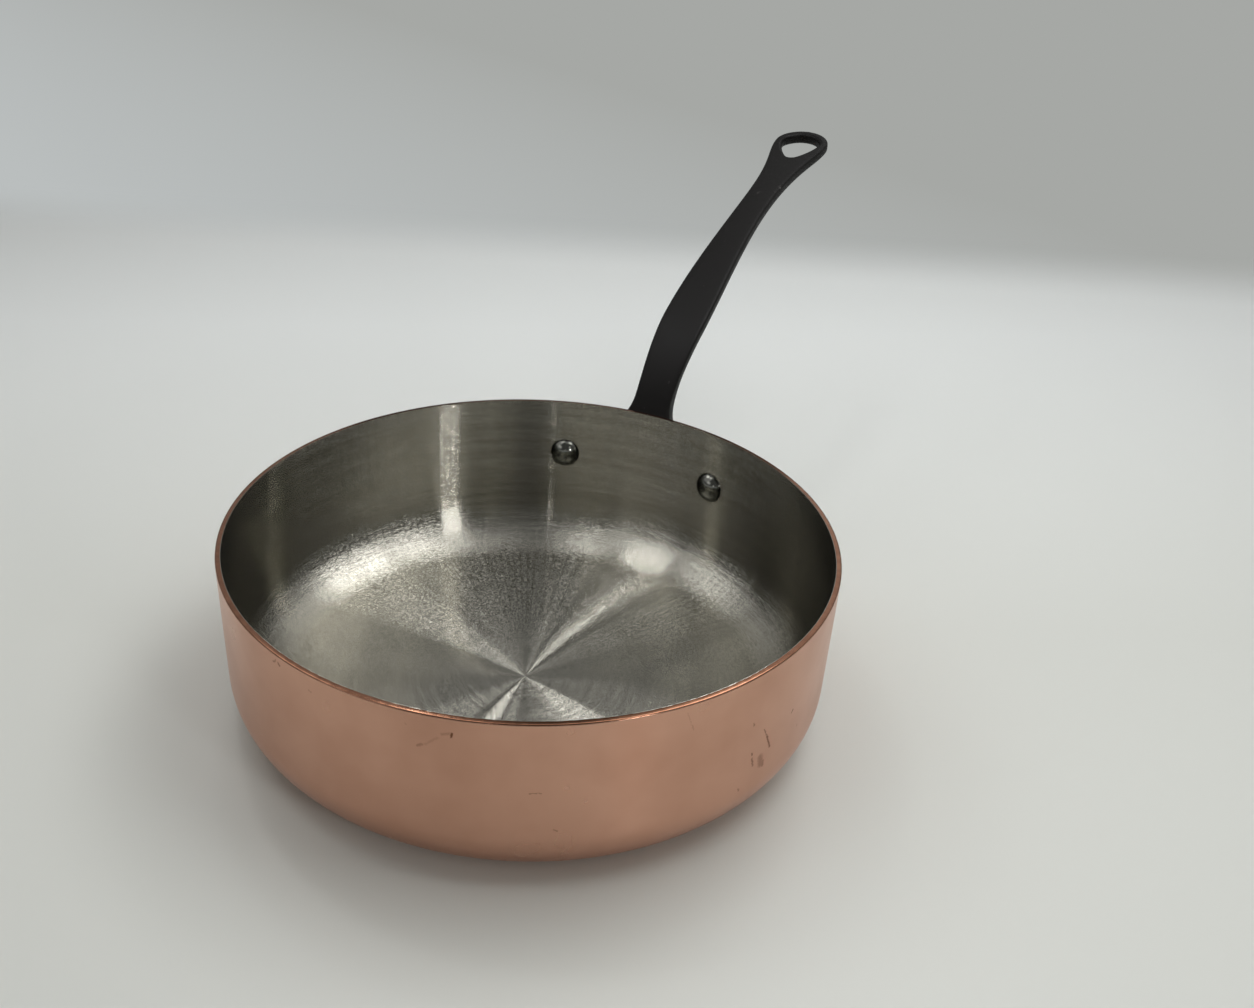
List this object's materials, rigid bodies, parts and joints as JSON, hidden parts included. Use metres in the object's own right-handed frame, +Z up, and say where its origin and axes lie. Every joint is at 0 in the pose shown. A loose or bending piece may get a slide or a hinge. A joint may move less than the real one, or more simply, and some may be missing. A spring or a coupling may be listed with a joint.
{
  "type": "saute pan",
  "caption": "Straight-sided copper saute pan with a stainless lining and a long riveted cast iron handle that ends in a hanging loop.",
  "frame": {"origin": "middle of the flat base, on the surface that the pan stands on", "axes": "+X along the handle, away from the pan; +Z up out of the pan's mouth"},
  "size_m": [0.5392, 0.28, 0.1736],
  "materials": {
    "copper": "satin brushed copper",
    "stainless": "brushed round the axis",
    "cast_iron": "satin black",
    "rivet_steel": "polished"
  },
  "bodies": {
    "root": {"copper_shell": "copper", "steel_lining": "stainless", "handle": "cast_iron", "rivet_left": "rivet_steel", "rivet_right": "rivet_steel"}
  },
  "joints": []
}
